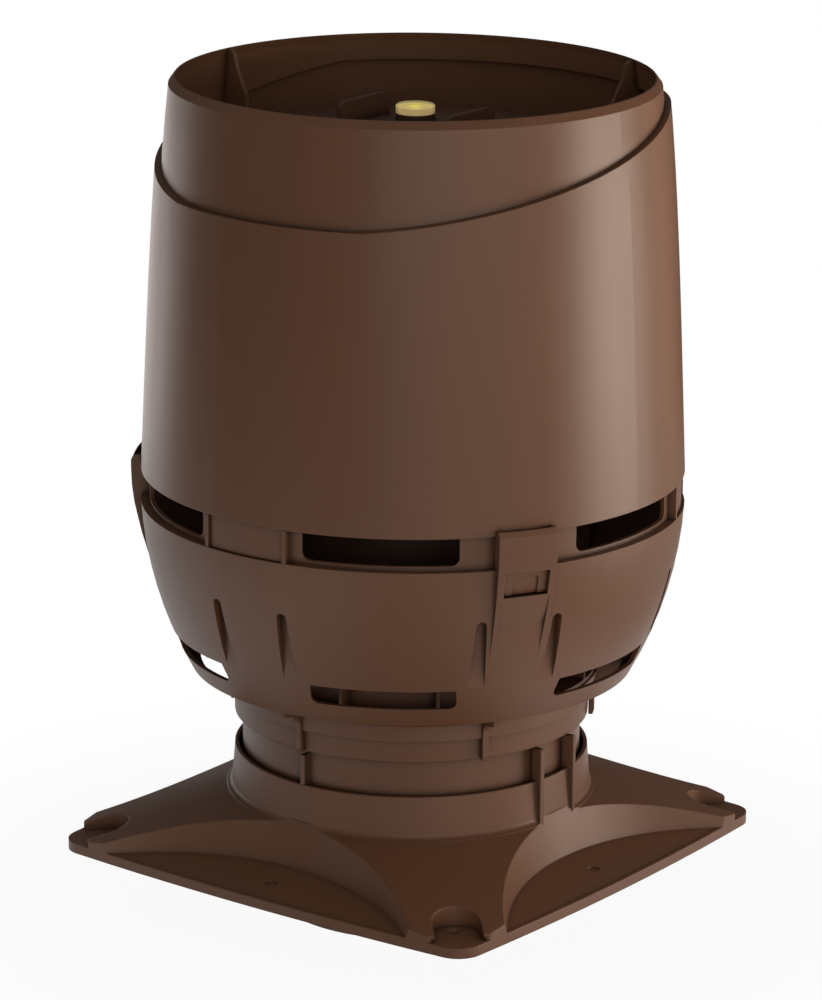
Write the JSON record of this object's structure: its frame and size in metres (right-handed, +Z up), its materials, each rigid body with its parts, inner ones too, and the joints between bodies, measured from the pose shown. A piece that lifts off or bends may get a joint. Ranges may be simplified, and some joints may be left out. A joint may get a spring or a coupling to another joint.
{
  "type": "roof vent pipe",
  "caption": "Insulated roof vent pipe: square roof flange with a collar, vented bowl with latch straps, and a tall lift-off hood with a cover and a bubble level",
  "frame": {"origin": "Centre of the roof flange's underside, on the axis of the duct", "axes": "+Z is up along the duct's axis. X and Y run along the sides of the flange. The hood's slanted step is lowest towards -Y and highest towards +Y."},
  "size_m": [0.31, 0.316, 0.4835],
  "materials": {
    "brown_moulding": "satin moulded plastic",
    "dark_moulding": "satin moulded plastic",
    "seal_rubber": "matt rubber",
    "galvanised_sheet": "galvanised sheet",
    "foam": "closed-cell foam",
    "screw_steel": "zinc-plated steel",
    "level_clear": "clear cast plastic",
    "level_fluid": "tinted fluid",
    "level_bubble": "air bubble in fluid"
  },
  "bodies": {
    "base": {"base_flange": "brown_moulding", "neck_pipe": "brown_moulding", "pipe_seal": "seal_rubber", "duct_spigot": "galvanised_sheet", "insulation_sleeve": "foam", "inner_duct": "brown_moulding", "duct_screws": "screw_steel", "skirt_ring": "brown_moulding", "bowl": "brown_moulding"},
    "hood": {"hood_shell": "brown_moulding"},
    "catch_a": {"latch_a": "brown_moulding"},
    "catch_b": {"latch_b": "brown_moulding"},
    "catch_c": {"latch_c": "brown_moulding"},
    "cover": {"centre_cover": "dark_moulding", "level_cup": "level_clear", "level_fluid": "level_fluid", "level_bubble": "level_bubble", "level_lens": "level_clear"}
  },
  "joints": [
    {"name": "hood_lift", "type": "slide", "parent": "base", "child": "hood", "axis": [0, 0, 1], "range_m": [0, 0.26]},
    {"name": "catch_a_flex", "type": "hinge", "parent": "hood", "child": "catch_a", "pos_m": [0.13293, -0.07675, 0.2237], "axis": [0.5, 0.866, 0], "range_deg": [0, 4.5], "stiffness_Nm_per_rad": 2},
    {"name": "catch_b_flex", "type": "hinge", "parent": "hood", "child": "catch_b", "pos_m": [0, 0.1535, 0.2237], "axis": [-1, 0, 0], "range_deg": [0, 4.5], "stiffness_Nm_per_rad": 2},
    {"name": "catch_c_flex", "type": "hinge", "parent": "hood", "child": "catch_c", "pos_m": [-0.13293, -0.07675, 0.2237], "axis": [0.5, -0.866, 0], "range_deg": [0, 4.5], "stiffness_Nm_per_rad": 2},
    {"name": "cover_lift", "type": "slide", "parent": "hood", "child": "cover", "axis": [0, 0, 1], "range_m": [0, 0.06]}
  ]
}
